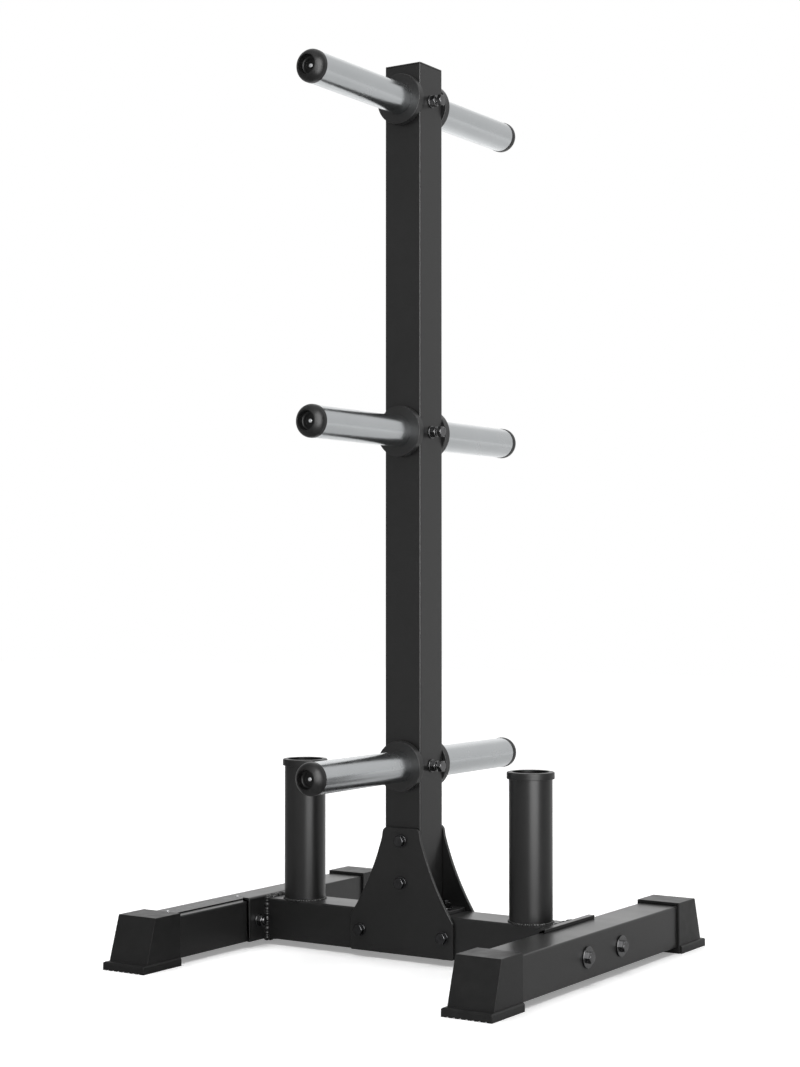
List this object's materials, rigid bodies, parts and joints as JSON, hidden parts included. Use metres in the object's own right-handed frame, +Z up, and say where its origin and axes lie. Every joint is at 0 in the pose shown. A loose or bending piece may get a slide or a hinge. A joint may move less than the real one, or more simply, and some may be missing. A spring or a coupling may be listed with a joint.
{
  "type": "plate tree",
  "caption": "Free-standing steel storage tree: plate sleeves front and back of a square upright, bar holders on its crossbar, rubber-booted feet.",
  "frame": {"origin": "on the floor, under the middle of the upright", "axes": "+X to the right along the crossbar, towards the side with the clamp bolts; +Y back along the rear sleeves; +Z up"},
  "size_m": [0.6834, 0.682, 1.3963],
  "materials": {
    "frame_paint": "satin black powder coat on steel",
    "collar_black": "satin black",
    "sleeve_chrome": "bright plated steel pipe",
    "core_steel": "plain steel, hidden inside the sleeves",
    "screw_steel": "zinc-plated",
    "bolt_black": "black oxide",
    "plug_plastic": "moulded black",
    "cap_plastic": "moulded black",
    "rim_plastic": "moulded black",
    "boot_rubber": "moulded black"
  },
  "bodies": {
    "root": {"upright_tube": "frame_paint", "upright_foot_plate": "frame_paint", "upright_top_plug": "plug_plastic", "crossbar_tube": "frame_paint", "gusset_plate_front": "frame_paint", "gusset_plate_back": "frame_paint", "gusset_bolt_upper": "bolt_black", "gusset_bolt_lower": "bolt_black", "gusset_bolt_left": "bolt_black", "gusset_bolt_right": "bolt_black", "foot_plate_bolt_left": "bolt_black", "foot_plate_bolt_right": "bolt_black", "foot_tube_left": "frame_paint", "end_plate_left": "frame_paint", "foot_bolt_left_front": "bolt_black", "foot_boot_left_front": "boot_rubber", "foot_bolt_left_back": "bolt_black", "foot_boot_left_back": "boot_rubber", "foot_tube_right": "frame_paint", "end_plate_right": "frame_paint", "foot_bolt_right_front": "bolt_black", "foot_boot_right_front": "boot_rubber", "foot_bolt_right_back": "bolt_black", "foot_boot_right_back": "boot_rubber", "core_bar_low": "core_steel", "clamp_bolt_low": "bolt_black", "collar_low_front": "collar_black", "sleeve_low_front": "sleeve_chrome", "end_cap_low_front": "cap_plastic", "cap_screw_low_front": "screw_steel", "collar_low_back": "collar_black", "sleeve_low_back": "sleeve_chrome", "end_cap_low_back": "cap_plastic", "cap_screw_low_back": "screw_steel", "core_bar_middle": "core_steel", "clamp_bolt_middle": "bolt_black", "collar_middle_front": "collar_black", "sleeve_middle_front": "sleeve_chrome", "end_cap_middle_front": "cap_plastic", "cap_screw_middle_front": "screw_steel", "collar_middle_back": "collar_black", "sleeve_middle_back": "sleeve_chrome", "end_cap_middle_back": "cap_plastic", "cap_screw_middle_back": "screw_steel", "core_bar_top": "core_steel", "clamp_bolt_top": "bolt_black", "collar_top_front": "collar_black", "sleeve_top_front": "sleeve_chrome", "end_cap_top_front": "cap_plastic", "cap_screw_top_front": "screw_steel", "collar_top_back": "collar_black", "sleeve_top_back": "sleeve_chrome", "end_cap_top_back": "cap_plastic", "cap_screw_top_back": "screw_steel", "holder_tube_left": "frame_paint", "holder_rim_left": "rim_plastic", "holder_tube_right": "frame_paint", "holder_rim_right": "rim_plastic"}
  },
  "joints": []
}
